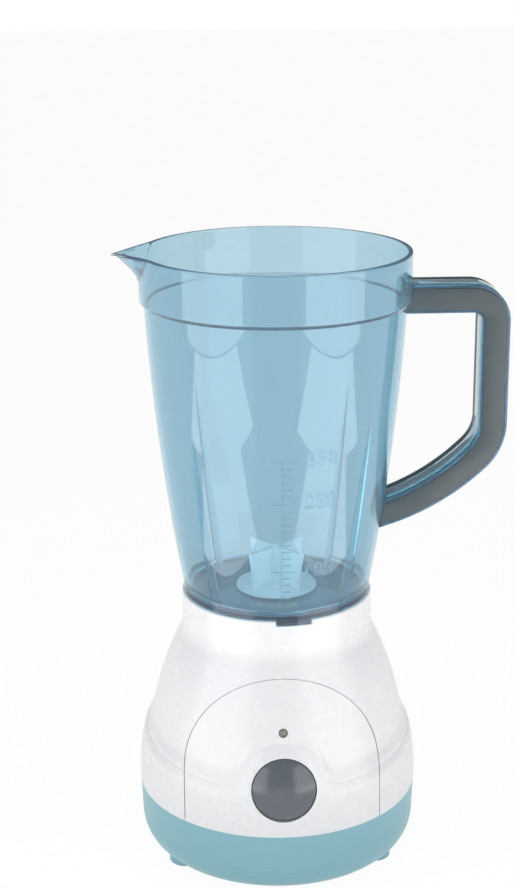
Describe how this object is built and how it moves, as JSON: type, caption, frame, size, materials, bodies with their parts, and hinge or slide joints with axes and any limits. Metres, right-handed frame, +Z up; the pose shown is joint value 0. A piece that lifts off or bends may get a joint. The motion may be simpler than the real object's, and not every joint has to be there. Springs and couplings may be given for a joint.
{
  "type": "toy blender",
  "caption": "Toy blender with a clear blue tapered jug, spout, handle and spinning impeller on a rounded white battery base with a push button and teal underside.",
  "frame": {"origin": "on the floor that the four feet stand on, under the axis of the drive shaft", "axes": "+Z up along the drive shaft, -Y to the front with the button, +X to the handle, -X to the spout"},
  "size_m": [0.162, 0.1216, 0.2643],
  "materials": {
    "white_plastic": "satin gloss, white",
    "teal_plastic": "satin gloss, pale teal",
    "button_plastic": "satin, dark grey",
    "grey_plastic": "satin, slate grey",
    "clear_blue_plastic": "clear, polished, tinted blue",
    "inner_plastic": "natural white, moulded",
    "gear_plastic": "natural, waxy",
    "black_plastic": "moulded, black",
    "lamp_plastic": "clear lens, grey when unlit",
    "board_laminate": "green solder mask",
    "resistor_coating": "lacquered body on tinned wires",
    "cell_jacket": "plain dark jacket with bare metal ends",
    "motor_can": "plated can",
    "nickel_steel": "nickel plated or ground",
    "zinc_steel": "zinc plated",
    "bush_brass": "sintered bronze",
    "seal_rubber": "matt black",
    "lead_red": "insulated wire",
    "lead_black": "insulated wire"
  },
  "bodies": {
    "base": {"base_shell": "white_plastic", "front_panel": "white_plastic", "base_tub": "teal_plastic", "battery_cells": "cell_jacket", "battery_springs": "nickel_steel", "battery_contacts": "nickel_steel", "housing_screws": "zinc_steel", "button_spring": "nickel_steel", "push_switch": "black_plastic", "circuit_board": "board_laminate", "board_screws": "zinc_steel", "board_resistor": "resistor_coating", "indicator_lamp": "lamp_plastic", "motor_bracket": "inner_plastic", "bracket_screws": "zinc_steel", "motor": "motor_can", "upper_bush": "bush_brass", "lower_bush": "bush_brass", "motor_leads": "lead_red", "battery_leads": "lead_black"},
    "jug": {"jug": "clear_blue_plastic", "handle_plate": "grey_plastic", "handle_cover": "grey_plastic", "impeller_bush": "inner_plastic", "shaft_seal": "seal_rubber"},
    "impeller": {"impeller": "white_plastic", "impeller_shaft": "nickel_steel", "driven_coupling": "gear_plastic"},
    "drive": {"drive_gear": "gear_plastic", "drive_shaft": "nickel_steel", "drive_coupling": "gear_plastic"},
    "rotor": {"motor_shaft": "nickel_steel", "motor_pinion": "gear_plastic"},
    "button": {"button": "button_plastic", "switch_plunger": "gear_plastic"},
    "battery_door": {"battery_door": "teal_plastic", "battery_door_screw": "zinc_steel"}
  },
  "joints": [
    {"name": "jug_lift", "type": "slide", "parent": "base", "child": "jug", "axis": [0, 0, 1], "range_m": [0, 0.04]},
    {"name": "impeller_spin", "type": "hinge", "parent": "jug", "child": "impeller", "pos_m": [0, 0, 0.12], "axis": [0, 0, 1], "continuous": true},
    {"name": "drive_spin", "type": "hinge", "parent": "base", "child": "drive", "pos_m": [0, 0, 0.09], "axis": [0, 0, 1], "continuous": true},
    {"name": "motor_spin", "type": "hinge", "parent": "base", "child": "rotor", "pos_m": [0, 0.0168, 0.08], "axis": [0, 0, 1], "continuous": true},
    {"name": "button_press", "type": "slide", "parent": "base", "child": "button", "axis": [0, 0.9877, -0.1564], "range_m": [0, 0.0025], "stiffness_N_per_m": 400, "springref_m": -0.002, "deforming": ["button_spring"]},
    {"name": "door_hinge", "type": "hinge", "parent": "base", "child": "battery_door", "pos_m": [0, -0.0236, 0.0035], "axis": [-1, 0, 0], "range_deg": [0, 70]}
  ],
  "couplings": [
    {"joint": "impeller_spin", "follows": "drive_spin", "ratio": 1},
    {"joint": "motor_spin", "follows": "drive_spin", "ratio": -3.2}
  ]
}
